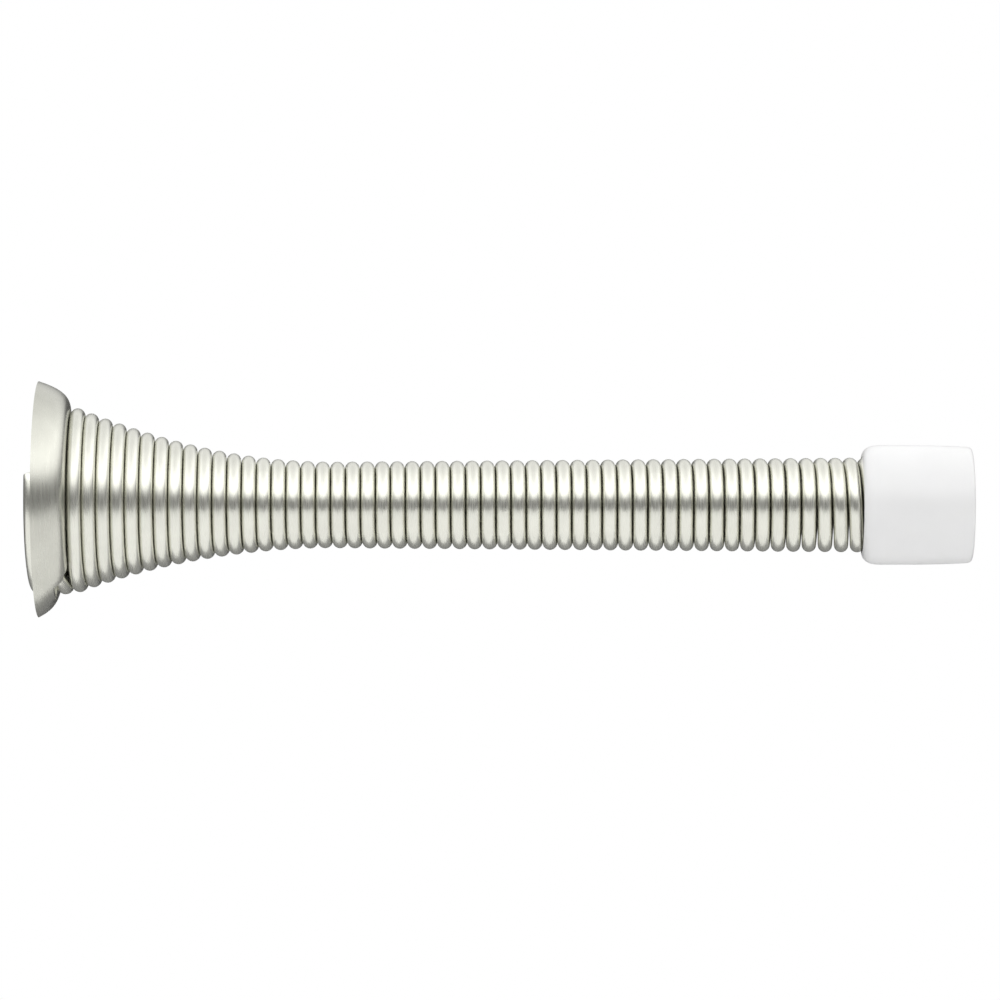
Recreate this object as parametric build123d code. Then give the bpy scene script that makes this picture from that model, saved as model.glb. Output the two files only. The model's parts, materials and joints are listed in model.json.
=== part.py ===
"""Spring door stop: a pressed flange, a close-wound flared spring and a push-on bumper tip.

Frame: millimetres, +Z up. The origin is the centre of the flange's rim, on the plane of the wall.
+X points away from the wall, along the spring, to the tip.

Angles round the axis run from the top (+Z) through the near side (-Y), the bottom and the far
side (+Y). The wire is followed by turns: turn 0 is at the top, and x grows with the turns, which
makes the coil right-handed.
"""

from build123d import *
import math
import os

# Overall
STOP_LENGTH = 82.55  # wall to the end of the tip, 3 1/4 in

# Wire and coil
WIRE = 1.28  # diameter of the wire
SPACING_AT_WALL = 1.293  # between neighbouring turns, centre to centre
SPACING_AT_TIP = 1.361
SPRING_DROP = 0.50  # the coil hangs this much below the flange's centre
FLANGE_DROP = 0.16  # where it leaves the flange
DROP_X = 22.0  # by here it has come down to the full drop
FIRST_FRONT_TURN = 2.25  # the first turn that stands in front of the flange, on the near side
FIRST_FRONT_X = 3.55
WIRE_START = 0.20  # the cut end behind the flange, in turns
WIRE_END_X = 78.9  # the cut end inside the tip
WAIST_X = 26.1  # where the flare ends and the coil is narrowest
WAIST_RADIUS = 3.19  # to the wire's centre
FLARE_RADIUS = 7.60
FLARE_X = 3.3  # nearer the wall than this the turns keep the flare's radius
TIP_TURN_RADIUS = 3.56
TIP_MOUTH_X = 72.8

# The coil lies over by its lead angle, so that its near side stands square to the axis
LEAN_FADE_START = 50.5  # turns; from here to the tip the turns come upright
LEAN_FADE_TURNS = 4.5

# Where the wire steps through the flange's slot
SLOT_STEP_START = 1.372  # turns
SLOT_STEP_TURNS = 0.100
END_KICK = 0.48  # the last turn behind the flange springs open by this much

# Flange, pressed from sheet
SHEET = 0.60
RIM_RADIUS = 10.45
RIM_EDGE = 0.66  # width of the sheet's edge on the wall
FACE_EDGE_RADIUS = 8.0  # the shoulder ends and the face begins
SIDE_RISE = 0.6  # the dome's side climbs this share of its height before it turns over
DOME_SIDE_LEAN = 0.55  # and leans in by this much
DOME_SHOULDER = 1.3  # width over which it turns into the face
DISH_SIDE_LEAN = 0.5  # the same for the hollow side of the dome
DISH_SHOULDER = 0.85
DISH_INSET = 0.1  # the hollow's corners are nearer the axis than the face's
DIMPLE_TOP_RADIUS = 6.4
DIMPLE_FOOT_RADIUS = 5.3
DIMPLE_INSET = 0.25  # the same for the back of the dimple's wall
HUB_FRONT_X = 0.75
HUB_RING_RADIUS = 4.2
SCREW_HOLE_RADIUS = 2.2
WIRE_CLEARANCE = 0.03
SLOT_START = 136.0  # degrees; the ramp is at its highest here
SLOT_END = 172.0  # and its low end begins here
SLOT_CUT_START = 129.0  # where the raised edge of the slot begins, nearest the axis
SLOT_CUT_LEAN = 3.8  # degrees that the raised edge moves on for each millimetre outwards
SLOT_LIP_X = 1.70  # the dome is whole below this height, so the rim is one ring
SLOT_CUT_TOP_X = 4.1  # above all of the flange
SLOT_INNER_RADIUS = 6.5
SLOT_OUTER_RADIUS = 8.95

# Bumper tip
TIP_RADIUS = 5.29
TIP_END_RADIUS = 5.15  # the mould's draft
TIP_MOUTH_RADIUS = 4.35
TIP_BORE_CLEARANCE = 0.04
TIP_FLOOR = 2.9
TIP_SHOULDER_LENGTH = 1.65
TIP_SHOULDER_SIDE = (0.1, 0.75)  # pulls the shoulder's curve out: along x, and as a share of its rise
TIP_SHOULDER_TOP = 0.45  # share of its length where the curve's pull along the side begins
TIP_DRAFT_SLOPE = -0.06  # at the end of the side
TIP_CORNER = 0.55
TIP_CORNER_PULL = 0.2  # shares of the corner that shape its curve, from the side and from the end face
TIP_CORNER_END_PULL = 0.35

# The coil is made in lengths, so that it can flex between them
TURNS_PER_LENGTH = 3.25  # so that the cuts go round: far side, top, near side, bottom
FIRST_CUT = 3.75  # turns
FLEX_CUTS = 16
CUT_GAP = 0.02
POINTS_PER_TURN = 16
STEPS_PER_TURN = 72


def ease(share):
    """A smooth step from 0 to 1."""
    share = min(max(share, 0.0), 1.0)
    return share * share * (3 - 2 * share)


def coil_radius(x):
    """Centre-line radius of the coil: a parabolic flare to the waist, then slow growth to the tip."""
    if x < WAIST_X:
        reach = (WAIST_X - max(x, FLARE_X)) / (WAIST_X - FLARE_X)
        return WAIST_RADIUS + (FLARE_RADIUS - WAIST_RADIUS) * reach**2
    reach = min((x - WAIST_X) / (TIP_MOUTH_X - WAIST_X), 1.0)
    return WAIST_RADIUS + (TIP_TURN_RADIUS - WAIST_RADIUS) * reach


def advance_per_turn(x):
    """Axial advance where neighbouring turns just clear each other on the coil's slope."""
    share = min(max(x / TIP_MOUTH_X, 0.0), 1.0)
    spacing = SPACING_AT_WALL + (SPACING_AT_TIP - SPACING_AT_WALL) * share
    probe = 0.05
    slope = (coil_radius(x + probe) - coil_radius(x - probe)) / (2 * probe)
    return spacing / math.hypot(1.0, slope)


def wind_coil():
    """The mean x of the wire at every step, from its end behind the flange to its end in the tip."""
    step = 1.0 / STEPS_PER_TURN
    forward = [FIRST_FRONT_X]
    while forward[-1] < WIRE_END_X:
        forward.append(forward[-1] + advance_per_turn(forward[-1]) * step)
    backward = [FIRST_FRONT_X]
    turns_back = FIRST_FRONT_TURN - WIRE_START + 0.25
    for _ in range(round(turns_back * STEPS_PER_TURN)):
        backward.append(backward[-1] - advance_per_turn(backward[-1]) * step)
    first_turn = FIRST_FRONT_TURN - (len(backward) - 1) * step
    return first_turn, backward[:0:-1] + forward


COIL_FIRST_TURN, COIL_X = wind_coil()
WIRE_END = COIL_FIRST_TURN + (len(COIL_X) - 1) / STEPS_PER_TURN


def mean_x(turn):
    """Mean x of the wire at a turn, before it leans."""
    place = (turn - COIL_FIRST_TURN) * STEPS_PER_TURN
    low = min(max(int(place), 0), len(COIL_X) - 2)
    return COIL_X[low] + (COIL_X[low + 1] - COIL_X[low]) * (place - low)


def front_x(turn):
    """x of the wire as it lies in front of the flange: close-wound, with the coil's lean."""
    x = mean_x(turn)
    upright = ease((turn - LEAN_FADE_START) / LEAN_FADE_TURNS)
    lean = (1 - upright) * advance_per_turn(x) / (2 * math.pi)
    return x + lean * math.cos(2 * math.pi * turn)


def wire_x(turn):
    """x of the wire: behind the slot it is set back by the sheet, and its cut end springs open."""
    set_back = SHEET + 2 * WIRE_CLEARANCE
    behind = 1 - ease((turn - SLOT_STEP_START) / SLOT_STEP_TURNS)
    kick = END_KICK * (1 - ease(turn - WIRE_START))
    return front_x(turn) - set_back * behind - kick


def coil_drop(x):
    """How far the coil's own axis is below the flange's."""
    return FLANGE_DROP + (SPRING_DROP - FLANGE_DROP) * ease(x / DROP_X)


def wire_point(turn):
    angle = 2 * math.pi * turn
    x = mean_x(turn)
    radius = coil_radius(x)
    return Vector(wire_x(turn), -radius * math.sin(angle), radius * math.cos(angle) - coil_drop(x))


def wire_length(first, last):
    """One length of the wire between two turns, as a round bar swept along the coil."""
    count = math.ceil((last - first) * POINTS_PER_TURN)
    points = [wire_point(first + (last - first) * i / count) for i in range(count + 1)]
    path = Edge.make_spline(points)
    start = Plane(origin=path @ 0, z_dir=path % 0)
    return sweep(start * Circle(WIRE / 2), path=path, is_frenet=True)


def at(x, radius, angle):
    """The point at a height, a radius and an angle in degrees round the flange's axis."""
    turned = math.radians(angle)
    return Vector(x, -radius * math.sin(turned), radius * math.cos(turned))


def face_height(angle):
    """Height of the flange's face: a ramp under the first front turn, which falls back at the slot."""

    def under_the_wire(a):
        return front_x(1 + a / 360) - WIRE / 2 - WIRE_CLEARANCE

    if angle <= SLOT_END:
        fall = ease((angle - SLOT_START) / (SLOT_END - SLOT_START))
        high, low = under_the_wire(SLOT_START + 360), under_the_wire(SLOT_END)
        return high + (low - high) * fall
    return under_the_wire(angle)


def flange_section(angle):
    """The pressed sheet's cross-section at an angle, from the hub ring out to the rim."""
    high = face_height(angle)
    low = high - SHEET
    hub_back = HUB_FRONT_X - SHEET

    def p(x, radius):
        return at(x, radius, angle)

    rim_inside = RIM_RADIUS - RIM_EDGE
    dish_edge = FACE_EDGE_RADIUS - DISH_INSET
    dome = Edge.make_bezier(
        p(0, RIM_RADIUS),
        p(SIDE_RISE * high, RIM_RADIUS - DOME_SIDE_LEAN),
        p(high, FACE_EDGE_RADIUS + DOME_SHOULDER),
        p(high, FACE_EDGE_RADIUS),
    )
    dish = Edge.make_bezier(
        p(low, dish_edge),
        p(low, dish_edge + DISH_SHOULDER),
        p(SIDE_RISE * low, rim_inside - DISH_SIDE_LEAN),
        p(0, rim_inside),
    )
    corners = [
        p(high, FACE_EDGE_RADIUS),
        p(high, DIMPLE_TOP_RADIUS),
        p(HUB_FRONT_X, DIMPLE_FOOT_RADIUS),
        p(HUB_FRONT_X, HUB_RING_RADIUS),
        p(hub_back, HUB_RING_RADIUS),
        p(hub_back, DIMPLE_FOOT_RADIUS - DIMPLE_INSET),
        p(low, DIMPLE_TOP_RADIUS - DIMPLE_INSET),
        p(low, dish_edge),
    ]
    sides = [Edge.make_line(a, b) for a, b in zip(corners, corners[1:])]
    rim = Edge.make_line(p(0, rim_inside), p(0, RIM_RADIUS))
    return Wire([dome] + sides + [dish, rim])


def slot_tool():
    """What the press cuts away where the wire passes from the front of the flange to its back."""

    def raised_edge(radius):
        return SLOT_CUT_START + SLOT_CUT_LEAN * (radius - SLOT_INNER_RADIUS)

    def arc(radius, first, last):
        middle = (first + last) / 2
        return Edge.make_three_point_arc(at(0, radius, first), at(0, radius, middle), at(0, radius, last))

    def sector(outer, low_x):
        inner = SLOT_INNER_RADIUS
        start_inner, start_outer = raised_edge(inner), raised_edge(outer)
        sides = [
            Edge.make_line(at(0, inner, start_inner), at(0, outer, start_outer)),
            arc(outer, start_outer, SLOT_END),
            Edge.make_line(at(0, outer, SLOT_END), at(0, inner, SLOT_END)),
            arc(inner, SLOT_END, start_inner),
        ]
        height = SLOT_CUT_TOP_X - low_x
        return Pos(low_x, 0, 0) * extrude(Face(Wire(sides)), amount=height, dir=(1, 0, 0))

    past_the_rim = RIM_RADIUS + 1
    return [sector(SLOT_OUTER_RADIUS, HUB_FRONT_X - SHEET), sector(past_the_rim, SLOT_LIP_X)]


def flange():
    """Pressed flange: a domed rim, a helical ramp for the wire, a slot, a dimple with the screw hole."""
    ramp_sections = 30
    fall_sections = 6
    turn_end = SLOT_START + 360

    def lofted(first, last, count):
        angles = [first + (last - first) * i / count for i in range(count + 1)]
        return Solid.make_loft([flange_section(a) for a in angles])

    dome = lofted(SLOT_END, turn_end, ramp_sections)
    step = lofted(SLOT_START, SLOT_END, fall_sections)
    hub_profile = Polyline(
        (HUB_FRONT_X - SHEET, SCREW_HOLE_RADIUS),
        (HUB_FRONT_X, SCREW_HOLE_RADIUS),
        (HUB_FRONT_X, HUB_RING_RADIUS),
        (HUB_FRONT_X - SHEET, HUB_RING_RADIUS),
        close=True,
    )
    hub = revolve(make_face(hub_profile), Axis.X)
    body = dome + step
    body += hub
    for tool in slot_tool():
        body -= tool
    return body


def bumper_tip():
    """Moulded tip: a blind bore that grips the last turns, an elliptical shoulder and a rounded end."""
    bore = TIP_TURN_RADIUS + WIRE / 2 + TIP_BORE_CLEARANCE
    shoulder_top = TIP_MOUTH_X + TIP_SHOULDER_LENGTH
    floor_x = STOP_LENGTH - TIP_FLOOR
    corner_start = STOP_LENGTH - TIP_CORNER
    rise = TIP_RADIUS - TIP_MOUTH_RADIUS
    side_along, side_out = TIP_SHOULDER_SIDE
    corner_along = (1 - TIP_CORNER_PULL) * TIP_CORNER
    outline = [
        Edge.make_bezier(
            (TIP_MOUTH_X, TIP_MOUTH_RADIUS),
            (TIP_MOUTH_X + side_along, TIP_MOUTH_RADIUS + side_out * rise),
            (TIP_MOUTH_X + TIP_SHOULDER_TOP * TIP_SHOULDER_LENGTH, TIP_RADIUS),
            (shoulder_top, TIP_RADIUS),
        ),
        Edge.make_spline(
            [(shoulder_top, TIP_RADIUS), (corner_start, TIP_END_RADIUS)],
            tangents=[(1, 0), (1, TIP_DRAFT_SLOPE)],
        ),
        Edge.make_bezier(
            (corner_start, TIP_END_RADIUS),
            (corner_start + corner_along, TIP_END_RADIUS + TIP_DRAFT_SLOPE * corner_along),
            (STOP_LENGTH, TIP_END_RADIUS - TIP_CORNER_END_PULL * TIP_CORNER),
            (STOP_LENGTH, TIP_END_RADIUS - TIP_CORNER),
        ),
        Edge.make_line((STOP_LENGTH, TIP_END_RADIUS - TIP_CORNER), (STOP_LENGTH, 0)),
        Edge.make_line((STOP_LENGTH, 0), (floor_x, 0)),
        Edge.make_line((floor_x, 0), (floor_x, bore)),
        Edge.make_line((floor_x, bore), (TIP_MOUTH_X, bore)),
        Edge.make_line((TIP_MOUTH_X, bore), (TIP_MOUTH_X, TIP_MOUTH_RADIUS)),
    ]
    return Pos(0, 0, -SPRING_DROP) * revolve(Face(Wire(outline)), Axis.X)


def spring_lengths():
    """Each length of the coil by name, with the turns where it begins and ends."""
    cuts = [FIRST_CUT + TURNS_PER_LENGTH * i for i in range(FLEX_CUTS)]
    bounds = [WIRE_START] + cuts + [WIRE_END]
    names = ["spring_flange_end"]
    names += [f"spring_turns_{i:02d}" for i in range(1, FLEX_CUTS)]
    names += ["spring_tip_end"]
    return list(zip(names, bounds, bounds[1:]))


def main():
    os.makedirs("parts", exist_ok=True)
    export_step(flange(), "parts/flange.step")
    export_step(bumper_tip(), "parts/bumper_tip.step")
    for name, first, last in spring_lengths():
        gap = CUT_GAP / (2 * math.pi * coil_radius(mean_x(first)))
        export_step(wire_length(first + gap, last - gap), f"parts/{name}.step")
    for i in range(FLEX_CUTS):
        turn = FIRST_CUT + TURNS_PER_LENGTH * i
        cut = wire_point(turn)
        print(f"flex joint {i + 1:02d}: turn {turn:.2f} at {cut.X:.4f}, {cut.Y:.4f}, {cut.Z:.4f}")


main()
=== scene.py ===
"""A sprung door stop: a pressed flange, a close-wound flared spring and a push-on bumper tip.

Metres, in the CAD's frame: the wall is the plane x = 0, +X runs along the spring to the tip, and +Z is up.
"""

import json
import math

import bpy
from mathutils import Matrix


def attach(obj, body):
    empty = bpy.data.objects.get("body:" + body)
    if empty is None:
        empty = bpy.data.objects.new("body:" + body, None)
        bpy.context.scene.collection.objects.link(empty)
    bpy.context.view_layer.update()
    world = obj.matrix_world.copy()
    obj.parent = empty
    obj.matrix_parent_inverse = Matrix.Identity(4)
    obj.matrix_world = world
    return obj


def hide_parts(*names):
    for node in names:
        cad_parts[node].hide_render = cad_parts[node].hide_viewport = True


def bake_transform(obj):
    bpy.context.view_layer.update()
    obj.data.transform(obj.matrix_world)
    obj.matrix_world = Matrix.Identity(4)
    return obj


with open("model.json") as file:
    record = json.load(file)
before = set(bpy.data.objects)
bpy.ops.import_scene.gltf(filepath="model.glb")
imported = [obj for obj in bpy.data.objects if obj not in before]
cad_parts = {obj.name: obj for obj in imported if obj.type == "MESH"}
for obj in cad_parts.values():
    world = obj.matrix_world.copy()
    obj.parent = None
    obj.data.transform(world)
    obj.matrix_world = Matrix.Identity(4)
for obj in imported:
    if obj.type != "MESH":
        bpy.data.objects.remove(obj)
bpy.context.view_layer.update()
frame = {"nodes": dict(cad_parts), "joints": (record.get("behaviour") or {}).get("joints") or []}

# --- Flange -----------------------------------------------------------------------------------------
# A disc pressed from mild steel sheet: a domed rim, a ramp that the first turn of the coil lies on, and a
# slot that the wire passes through. It is plated in satin nickel like the wire, and brushed round.

FLANGE_NICKEL = (0.585, 0.585, 0.527)
MOTTLE_SCALE = 420.0  # cloudy patches in the plating, about 2 mm across
GRIT_SCALE = 9000.0  # the tumbling's fine grit marks
BRUSHED_ACROSS = 5200.0  # the brushing wheel's lines: how fine they are across
BRUSHED_AROUND = 2.2  # and how long round the disc, per radian
FLANGE_ROUGHNESS = (0.25, 0.32)
BUMP_HEIGHT = 0.00002
NOISE_LOW, NOISE_HIGH = 0.3, 0.7  # the middle range that most of a noise lies in


def new_material(name):
    """An empty node material with a Principled shader, its node tree and the shader."""
    material = bpy.data.materials.new(name)
    material.use_nodes = True
    tree = material.node_tree
    tree.nodes.clear()
    shader = tree.nodes.new("ShaderNodeBsdfPrincipled")
    output = tree.nodes.new("ShaderNodeOutputMaterial")
    tree.links.new(shader.outputs["BSDF"], output.inputs["Surface"])
    return material, tree, shader


def noise(tree, vector, scale, detail=3.0, roughness=0.55):
    """A noise texture on a coordinate."""
    node = tree.nodes.new("ShaderNodeTexNoise")
    node.inputs["Scale"].default_value = scale
    node.inputs["Detail"].default_value = detail
    node.inputs["Roughness"].default_value = roughness
    tree.links.new(vector, node.inputs["Vector"])
    return node.outputs["Fac"]


def spread(tree, value, low, high):
    """A noise value, spread from its usual middle range to low and high."""
    node = tree.nodes.new("ShaderNodeMapRange")
    node.inputs["From Min"].default_value = NOISE_LOW
    node.inputs["From Max"].default_value = NOISE_HIGH
    node.inputs["To Min"].default_value = low
    node.inputs["To Max"].default_value = high
    tree.links.new(value, node.inputs["Value"])
    return node.outputs["Result"]


def two_tone(tree, value, dark, light):
    """A colour between two, by a noise value."""
    node = tree.nodes.new("ShaderNodeValToRGB")
    node.color_ramp.elements[0].position = NOISE_LOW
    node.color_ramp.elements[0].color = (*dark, 1)
    node.color_ramp.elements[1].position = NOISE_HIGH
    node.color_ramp.elements[1].color = (*light, 1)
    tree.links.new(value, node.inputs["Fac"])
    return node.outputs["Color"]


def bump(tree, value, strength, height=BUMP_HEIGHT, base=None):
    """A bump from a noise value, over another bump if there is one."""
    node = tree.nodes.new("ShaderNodeBump")
    node.inputs["Strength"].default_value = strength
    node.inputs["Distance"].default_value = height
    tree.links.new(value, node.inputs["Height"])
    if base is not None:
        tree.links.new(base, node.inputs["Normal"])
    return node.outputs["Normal"]


def tinted(colour, share):
    """A colour, made darker or lighter."""
    return tuple(c * share for c in colour)


def brushed_round(tree, place):
    """A coordinate that is long round the x axis and fine across it, for lines that run round the disc."""
    parts = tree.nodes.new("ShaderNodeSeparateXYZ")
    tree.links.new(place, parts.inputs["Vector"])
    across = tree.nodes.new("ShaderNodeVectorMath")
    across.operation = "MULTIPLY"
    across.inputs[1].default_value = (0, 1, 1)
    tree.links.new(place, across.inputs[0])
    from_axis = tree.nodes.new("ShaderNodeVectorMath")
    from_axis.operation = "LENGTH"
    tree.links.new(across.outputs["Vector"], from_axis.inputs[0])
    angle = tree.nodes.new("ShaderNodeMath")
    angle.operation = "ARCTAN2"
    tree.links.new(parts.outputs["Y"], angle.inputs[0])
    tree.links.new(parts.outputs["Z"], angle.inputs[1])
    joined = tree.nodes.new("ShaderNodeCombineXYZ")
    tree.links.new(parts.outputs["X"], joined.inputs["X"])
    tree.links.new(from_axis.outputs["Value"], joined.inputs["Y"])
    tree.links.new(angle.outputs["Value"], joined.inputs["Z"])
    stretched = tree.nodes.new("ShaderNodeMapping")
    stretched.inputs["Scale"].default_value = (BRUSHED_ACROSS, BRUSHED_ACROSS, BRUSHED_AROUND)
    tree.links.new(joined.outputs["Vector"], stretched.inputs["Vector"])
    return stretched.outputs["Vector"]


flange_plating, tree, shader = new_material("flange_satin_nickel")
place = tree.nodes.new("ShaderNodeTexCoord").outputs["Object"]
mottle = noise(tree, place, MOTTLE_SCALE)
lines = noise(tree, brushed_round(tree, place), 1.0, detail=3.0)
grit = noise(tree, place, GRIT_SCALE, detail=2.0)
shader.inputs["Metallic"].default_value = 1.0
cloudy = two_tone(tree, mottle, tinted(FLANGE_NICKEL, 0.95), tinted(FLANGE_NICKEL, 1.04))
tree.links.new(cloudy, shader.inputs["Base Color"])
tree.links.new(spread(tree, lines, *FLANGE_ROUGHNESS), shader.inputs["Roughness"])
brushed_bump = bump(tree, lines, 0.14)
tree.links.new(bump(tree, grit, 0.15, base=brushed_bump), shader.inputs["Normal"])

flange = frame["nodes"]["flange"]
flange.data.materials.clear()
flange.data.materials.append(flange_plating)

# --- Spring -----------------------------------------------------------------------------------------
# One length of hard-drawn steel wire, wound cold and tight on a tapered mandrel, then nickel plated. Its
# first turns lie behind the flange, the next stands on the ramp, and the last five are inside the tip.

WIRE = 1.28
SPACING_AT_WALL = 1.293
SPACING_AT_TIP = 1.361
SPRING_DROP = 0.50
FLANGE_DROP = 0.16
DROP_X = 22.0
FIRST_FRONT_TURN = 2.25
FIRST_FRONT_X = 3.55
WIRE_START = 0.20
WIRE_END_X = 78.9
WAIST_X = 26.1
WAIST_RADIUS = 3.19
FLARE_RADIUS = 7.60
FLARE_X = 3.3
TIP_TURN_RADIUS = 3.56
TIP_MOUTH_X = 72.8
LEAN_FADE_START = 50.5
LEAN_FADE_TURNS = 4.5
SLOT_STEP_START = 1.372
SLOT_STEP_TURNS = 0.100
SET_BACK = 0.66  # the sheet that lies between the inner turns and the front ones, and its clearances
END_KICK = 0.48
STEPS_PER_TURN = 72

FIRST_CUT = 3.75  # turns along the wire to the coil's first hinge
TURNS_PER_LENGTH = 3.25  # and from each hinge to the next
FLANGE_END_TURNS = 2.5  # up to here the wire stays with the flange
TIP_END_TURNS = 53.7  # and from here it goes with the tip
RINGS_PER_TURN = 64
POINTS_ROUND = 20

WIRE_NICKEL = (0.750, 0.750, 0.680)
WIRE_ROUGHNESS = (0.22, 0.34)
DIE_LINES = (3.0, 46.0, 1.0)  # how fine the die's marks are, per turn of the coil and round the wire
DIE_LINE_HEIGHT = 0.00003


def ease(share):
    """A smooth step from 0 to 1."""
    share = min(max(share, 0.0), 1.0)
    return share * share * (3 - 2 * share)


def coil_radius(x):
    """Centre-line radius of the coil: a parabolic flare to the waist, then slow growth to the tip."""
    if x < WAIST_X:
        reach = (WAIST_X - max(x, FLARE_X)) / (WAIST_X - FLARE_X)
        return WAIST_RADIUS + (FLARE_RADIUS - WAIST_RADIUS) * reach**2
    reach = min((x - WAIST_X) / (TIP_MOUTH_X - WAIST_X), 1.0)
    return WAIST_RADIUS + (TIP_TURN_RADIUS - WAIST_RADIUS) * reach


def advance_per_turn(x):
    """Axial advance where neighbouring turns just clear each other on the coil's slope."""
    share = min(max(x / TIP_MOUTH_X, 0.0), 1.0)
    spacing = SPACING_AT_WALL + (SPACING_AT_TIP - SPACING_AT_WALL) * share
    probe = 0.05
    slope = (coil_radius(x + probe) - coil_radius(x - probe)) / (2 * probe)
    return spacing / math.hypot(1.0, slope)


def wind_coil():
    """The mean x of the wire at every step, and the turn of the first of them."""
    step = 1.0 / STEPS_PER_TURN
    forward = [FIRST_FRONT_X]
    while forward[-1] < WIRE_END_X:
        forward.append(forward[-1] + advance_per_turn(forward[-1]) * step)
    backward = [FIRST_FRONT_X]
    turns_back = FIRST_FRONT_TURN - WIRE_START + 0.25
    for _ in range(round(turns_back * STEPS_PER_TURN)):
        backward.append(backward[-1] - advance_per_turn(backward[-1]) * step)
    first_turn = FIRST_FRONT_TURN - (len(backward) - 1) * step
    return first_turn, backward[:0:-1] + forward


coil_first_turn, coil_x = wind_coil()
wire_end = coil_first_turn + (len(coil_x) - 1) / STEPS_PER_TURN


def mean_x(turn):
    """Mean x of the wire at a turn, before it leans."""
    place = (turn - coil_first_turn) * STEPS_PER_TURN
    low = min(max(int(place), 0), len(coil_x) - 2)
    return coil_x[low] + (coil_x[low + 1] - coil_x[low]) * (place - low)


def wire_x(turn):
    """x of the wire: it leans in front of the flange, and behind the slot it is set back by the sheet."""
    x = mean_x(turn)
    upright = ease((turn - LEAN_FADE_START) / LEAN_FADE_TURNS)
    lean = (1 - upright) * advance_per_turn(x) / (2 * math.pi)
    behind = 1 - ease((turn - SLOT_STEP_START) / SLOT_STEP_TURNS)
    kick = END_KICK * (1 - ease(turn - WIRE_START))
    return x + lean * math.cos(2 * math.pi * turn) - SET_BACK * behind - kick


def wire_point(turn):
    """The wire's centre at a turn, in millimetres. Turn 0 is at the top, and a quarter is nearest."""
    angle = 2 * math.pi * turn
    x = mean_x(turn)
    radius = coil_radius(x)
    drop = FLANGE_DROP + (SPRING_DROP - FLANGE_DROP) * ease(x / DROP_X)
    return (wire_x(turn), -radius * math.sin(angle), radius * math.cos(angle) - drop)


def subtract(a, b):
    return [p - q for p, q in zip(a, b)]


def cross(a, b):
    return [a[1] * b[2] - a[2] * b[1], a[2] * b[0] - a[0] * b[2], a[0] * b[1] - a[1] * b[0]]


def unit(a):
    length = math.sqrt(sum(p * p for p in a))
    return [p / length for p in a]


def wire_ring(turn, radius):
    """A ring of points round the wire, square to it and starting from the coil's outside."""
    probe = 0.002
    centre = wire_point(turn)
    along = unit(subtract(wire_point(turn + probe), wire_point(turn - probe)))
    outwards = (0, -math.sin(2 * math.pi * turn), math.cos(2 * math.pi * turn))
    side = unit(cross(along, outwards))
    outer = cross(side, along)
    ring = []
    for k in range(POINTS_ROUND):
        angle = 2 * math.pi * k / POINTS_ROUND
        c, s = radius * math.cos(angle), radius * math.sin(angle)
        ring.append([(centre[i] + c * outer[i] + s * side[i]) / 1000 for i in range(3)])
    return ring


CUT_EDGE = [(0.0, 0.12), (0.05, 0.03), (0.125, 0.0)]  # how far in from a cut end, and how much thinner


def wire_mesh(name, first, last, cut_first=False, cut_last=False):
    """A stretch of the wire between two turns. A cut end has the small round-over of a tumbled wire."""
    count = math.ceil((last - first) * RINGS_PER_TURN)
    stations = [(first + (last - first) * i / count, WIRE / 2) for i in range(count + 1)]
    if cut_first:
        turn_length = 2 * math.pi * coil_radius(mean_x(first))
        stations[:1] = [(first + inset / turn_length, WIRE / 2 - less) for inset, less in CUT_EDGE]
    if cut_last:
        turn_length = 2 * math.pi * coil_radius(mean_x(last))
        edge = reversed(CUT_EDGE)
        stations[-1:] = [(last - inset / turn_length, WIRE / 2 - less) for inset, less in edge]
    points, faces = [], []
    for turn, radius in stations:
        points += wire_ring(turn, radius)
    n = POINTS_ROUND
    for i in range(len(stations) - 1):
        for k in range(n):
            a, b = i * n + k, i * n + (k + 1) % n
            faces.append((a, a + n, b + n, b))
    if cut_first:
        faces.append(tuple(range(n)))
    if cut_last:
        end = (len(stations) - 1) * n
        faces.append(tuple(end + k for k in reversed(range(n))))
    mesh = bpy.data.meshes.new(name)
    mesh.from_pydata(points, [], faces)
    along = mesh.uv_layers.new(name="along_wire")
    turns = [turn for turn, _ in stations]
    for face in mesh.polygons:
        for loop in face.loop_indices:
            vertex = mesh.loops[loop].vertex_index
            k = vertex % n
            if face.index < (len(stations) - 1) * n and face.index % n == n - 1 and k == 0:
                k = n
            along.data[loop].uv = (turns[vertex // n], k / n)
        face.use_smooth = len(face.vertices) == 4
    mesh.update()
    piece = bpy.data.objects.new(name, mesh)
    bpy.context.scene.collection.objects.link(piece)
    return piece


wire_plating, tree, shader = new_material("wire_satin_nickel")
along_wire = tree.nodes.new("ShaderNodeUVMap")
along_wire.uv_map = "along_wire"
drawn = tree.nodes.new("ShaderNodeMapping")
drawn.inputs["Scale"].default_value = DIE_LINES
tree.links.new(along_wire.outputs["UV"], drawn.inputs["Vector"])
die_lines = noise(tree, drawn.outputs["Vector"], 1.0, detail=4.0)
place = tree.nodes.new("ShaderNodeTexCoord").outputs["Object"]
mottle = noise(tree, place, MOTTLE_SCALE)
grit = noise(tree, place, GRIT_SCALE, detail=2.0)
shader.inputs["Metallic"].default_value = 1.0
cloudy = two_tone(tree, mottle, tinted(WIRE_NICKEL, 0.95), tinted(WIRE_NICKEL, 1.04))
tree.links.new(cloudy, shader.inputs["Base Color"])
tree.links.new(spread(tree, die_lines, *WIRE_ROUGHNESS), shader.inputs["Roughness"])
drawn_bump = bump(tree, die_lines, 0.35, DIE_LINE_HEIGHT)
tree.links.new(bump(tree, grit, 0.12, base=drawn_bump), shader.inputs["Normal"])

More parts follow.
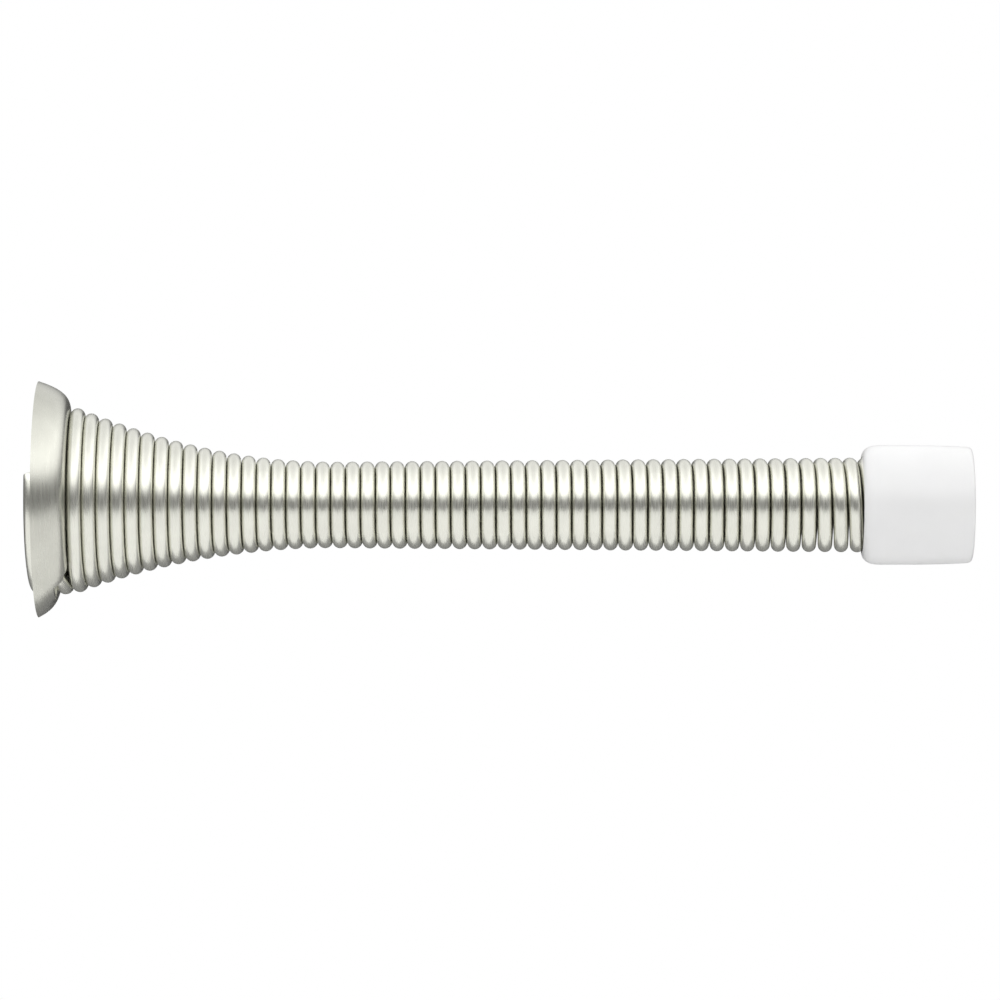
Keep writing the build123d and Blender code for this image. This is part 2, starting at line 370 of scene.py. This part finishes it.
joints = sorted(frame["joints"], key=lambda joint: joint["pos_m"][0])
cuts = [FIRST_CUT + TURNS_PER_LENGTH * i for i in range(len(joints))]
seams = [FLANGE_END_TURNS] + [(a + b) / 2 for a, b in zip(cuts, cuts[1:])] + [TIP_END_TURNS]
lengths = ["spring_flange_end"] + [f"spring_turns_{i:02d}" for i in range(1, len(joints))]
lengths += ["spring_tip_end"]

flange_end = wire_mesh("wire_flange_end", WIRE_START, seams[0], cut_first=True)
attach(flange_end, "base")
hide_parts(lengths[0])
flange_end.data.materials.append(wire_plating)


def bend_evenly(piece):
    """Lays a stretch's rings out straight along x, ring by ring, bakes the object's transform into them,
    and puts the coiled rings back.

    The straight rings are placed where an easing that runs in and out gives each its even share.
    """
    coiled = [vertex.co.copy() for vertex in piece.data.vertices]
    steps = len(coiled) // POINTS_ROUND - 1
    for vertex in piece.data.vertices:
        share = vertex.index // POINTS_ROUND / steps
        vertex.co = (0.5 - math.sin(math.asin(1 - 2 * share) / 3), 0, 0)
    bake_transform(piece)
    for vertex, place in zip(piece.data.vertices, coiled):
        vertex.co = place
    piece.data.update()


for i, joint in enumerate(joints):
    stretch = wire_mesh(f"wire_stretch_{i + 1:02d}", seams[i], seams[i + 1])
    stretch.data.materials.append(wire_plating)
    bend_evenly(stretch)
    if i:
        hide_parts(lengths[i])

tip_end = wire_mesh("wire_tip_end", seams[-1], wire_end, cut_last=True)
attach(tip_end, "tip")
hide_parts(lengths[-1])
tip_end.data.materials.append(wire_plating)

# --- Bumper tip -------------------------------------------------------------------------------------
# A soft white vinyl cap, injection moulded with a little draft and pushed over the last five turns of the
# wire, which it grips. The mould leaves it smooth and slightly glossy.

VINYL_WHITE = (0.83, 0.83, 0.83)
VINYL_ROUGHNESS = (0.30, 0.38)
FLOW_SCALE = 260.0  # faint clouds from the mould's filling
SKIN_SCALE = 5200.0  # the mould's own fine texture

vinyl, tree, shader = new_material("tip_white_vinyl")
place = tree.nodes.new("ShaderNodeTexCoord").outputs["Object"]
flow = noise(tree, place, FLOW_SCALE)
skin = noise(tree, place, SKIN_SCALE, detail=2.0)
flowed = two_tone(tree, flow, tinted(VINYL_WHITE, 0.985), tinted(VINYL_WHITE, 1.01))
tree.links.new(flowed, shader.inputs["Base Color"])
tree.links.new(spread(tree, flow, *VINYL_ROUGHNESS), shader.inputs["Roughness"])
tree.links.new(bump(tree, skin, 0.10), shader.inputs["Normal"])
shader.inputs["Subsurface Weight"].default_value = 0.1
shader.inputs["Subsurface Radius"].default_value = (1.0, 1.0, 0.9)
shader.inputs["Subsurface Scale"].default_value = 0.001

bumper_tip = frame["nodes"]["bumper_tip"]
bumper_tip.data.materials.clear()
bumper_tip.data.materials.append(vinyl)

# --- Studio -----------------------------------------------------------------------------------------
# A pale floor well below the stop, inside a tent of light that is brightest overhead. Level with the
# stop the tent is dim, as it is round its opening, and what stands behind the stop looks white.

FLOOR_Z = -0.060
LEFT, RIGHT = -0.40, 0.50
NEAR, FAR = -0.22, 0.03
floor_mesh = bpy.data.meshes.new("studio_floor")
floor_corners = [(LEFT, NEAR), (RIGHT, NEAR), (RIGHT, FAR), (LEFT, FAR)]
floor_mesh.from_pydata([(x, y, FLOOR_Z) for x, y in floor_corners], [], [(0, 1, 2, 3)])
floor = bpy.data.objects.new("studio_floor", floor_mesh)
bpy.context.scene.collection.objects.link(floor)
paper, tree, shader = new_material("floor_paper")
shader.inputs["Base Color"].default_value = (0.9, 0.9, 0.9, 1)
shader.inputs["Roughness"].default_value = 0.9
floor_mesh.materials.append(paper)

world = bpy.data.worlds.new("light_tent")
bpy.context.scene.world = world
world.use_nodes = True
tree = world.node_tree
tree.nodes.clear()
direction = tree.nodes.new("ShaderNodeTexCoord").outputs["Generated"]
parts = tree.nodes.new("ShaderNodeSeparateXYZ")
tree.links.new(direction, parts.inputs["Vector"])
lift = tree.nodes.new("ShaderNodeMapRange")
lift.inputs["From Min"].default_value = -1.0
lift.inputs["From Max"].default_value = 1.0
tree.links.new(parts.outputs["Z"], lift.inputs["Value"])
# Height on the surround, from straight down (0) through level (0.5) to straight up (1), and brightness.
BRIGHTNESS = [
    (0.00, 0.50),
    (0.29, 0.56),
    (0.36, 0.48),
    (0.42, 0.20),
    (0.575, 0.19),
    (0.63, 0.50),
    (0.69, 1.60),
    (0.80, 1.85),
    (0.90, 1.45),
    (1.00, 1.10),
]
TENT_STRENGTH = 2.0
tones = tree.nodes.new("ShaderNodeValToRGB")
tones.color_ramp.interpolation = "EASE"
while len(tones.color_ramp.elements) < len(BRIGHTNESS):
    tones.color_ramp.elements.new(0.5)
for element, (height, value) in zip(tones.color_ramp.elements, BRIGHTNESS):
    element.position = height
    element.color = (value / TENT_STRENGTH, value / TENT_STRENGTH, value / TENT_STRENGTH, 1)
tree.links.new(lift.outputs["Result"], tones.inputs["Fac"])
tent = tree.nodes.new("ShaderNodeBackground")
tent.inputs["Strength"].default_value = TENT_STRENGTH
# The far side of the tent is dimmer, and so is the end beyond the wall.
shares = []
for axis, edge, share in (("Y", 1.0, 0.4), ("X", -1.0, 0.95), ("X", 1.0, 1.0)):
    side = tree.nodes.new("ShaderNodeMapRange")
    side.inputs["From Min"].default_value = 0.0
    side.inputs["From Max"].default_value = edge
    side.inputs["To Min"].default_value = 1.0
    side.inputs["To Max"].default_value = share
    tree.links.new(parts.outputs[axis], side.inputs["Value"])
    shares.append(side.outputs["Result"])
light = tones.outputs["Color"]
for share in shares:
    dimmed = tree.nodes.new("ShaderNodeVectorMath")
    dimmed.operation = "SCALE"
    tree.links.new(light, dimmed.inputs[0])
    tree.links.new(share, dimmed.inputs["Scale"])
    light = dimmed.outputs["Vector"]
tree.links.new(light, tent.inputs["Color"])
backdrop = tree.nodes.new("ShaderNodeBackground")
backdrop.inputs["Color"].default_value = (1, 1, 1, 1)
backdrop.inputs["Strength"].default_value = 1.0
seen = tree.nodes.new("ShaderNodeLightPath")
mix = tree.nodes.new("ShaderNodeMixShader")
tree.links.new(seen.outputs["Is Camera Ray"], mix.inputs["Fac"])
tree.links.new(tent.outputs["Background"], mix.inputs[1])
tree.links.new(backdrop.outputs["Background"], mix.inputs[2])
surround = tree.nodes.new("ShaderNodeOutputWorld")
tree.links.new(mix.outputs["Shader"], surround.inputs["Surface"])

CAMERA_PLACE = (0.0408, -0.531, -0.00006)  # level with the stop and square to it
lens = bpy.data.cameras.new("camera")
lens.lens = 216.0
lens.sensor_width = 36.0
lens.clip_start = 0.05
lens.clip_end = 20.0
camera = bpy.data.objects.new("camera", lens)
camera.location = CAMERA_PLACE
camera.rotation_euler = (math.pi / 2, 0, 0)
bpy.context.scene.collection.objects.link(camera)
bpy.context.scene.camera = camera
bpy.context.scene.view_settings.view_transform = "Standard"
bpy.context.scene.view_settings.look = "None"
